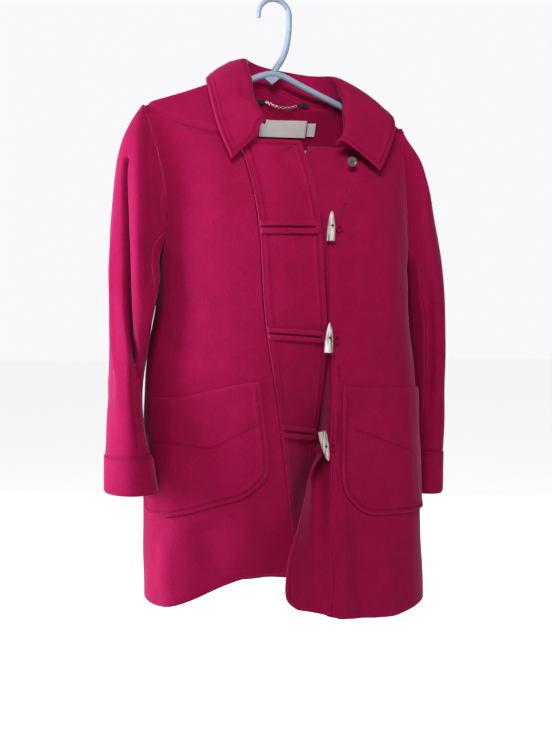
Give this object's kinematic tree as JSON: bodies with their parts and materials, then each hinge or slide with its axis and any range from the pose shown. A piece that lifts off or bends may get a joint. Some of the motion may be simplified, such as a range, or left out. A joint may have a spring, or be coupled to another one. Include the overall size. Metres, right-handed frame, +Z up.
{
  "type": "wool toggle coat on a plastic hanger",
  "caption": "Thigh-length crimson wool coat with a wide shirt collar, horn toggles on cloth straps, patch pockets and turned cuffs, hanging open at the hem on a moulded plastic hanger.",
  "frame": {"origin": "the inside top of the hanger's hook, where a rod or peg holds it", "axes": "+Z up, the coat's front faces -Y, the wearer's right side is at -X"},
  "size_m": [0.5874, 0.2914, 0.976],
  "materials": {
    "wool": "soft napped wool, crimson",
    "horn": "pale streaked horn, polished",
    "smoky_button": "smoky grey, polished",
    "woven_label": "woven satin, blank",
    "tape": "black tape",
    "chain": "bright chain",
    "hanger_plastic": "pale blue moulded plastic, satin"
  },
  "bodies": {
    "root": {"back": "wool", "yoke": "wool", "front_right": "wool", "front_left": "wool", "placket_right": "wool", "placket_left": "wool", "pocket_right": "wool", "pocket_left": "wool", "collar": "wool", "sleeve_upper_right": "wool", "sleeve_upper_left": "wool", "sleeve_under_right": "wool", "sleeve_under_left": "wool", "cuff_right": "wool", "cuff_left": "wool", "strap_1": "wool", "strap_2": "wool", "strap_3": "wool", "toggle_loop_1": "wool", "toggle_loop_2": "wool", "toggle_loop_3": "wool", "toggle_1": "horn", "toggle_2": "horn", "toggle_3": "horn", "neck_button": "smoky_button", "label": "woven_label", "size_tab": "woven_label", "chain_tab_right": "tape", "chain_tab_left": "tape", "hang_chain": "chain", "hanger": "hanger_plastic"}
  },
  "joints": []
}
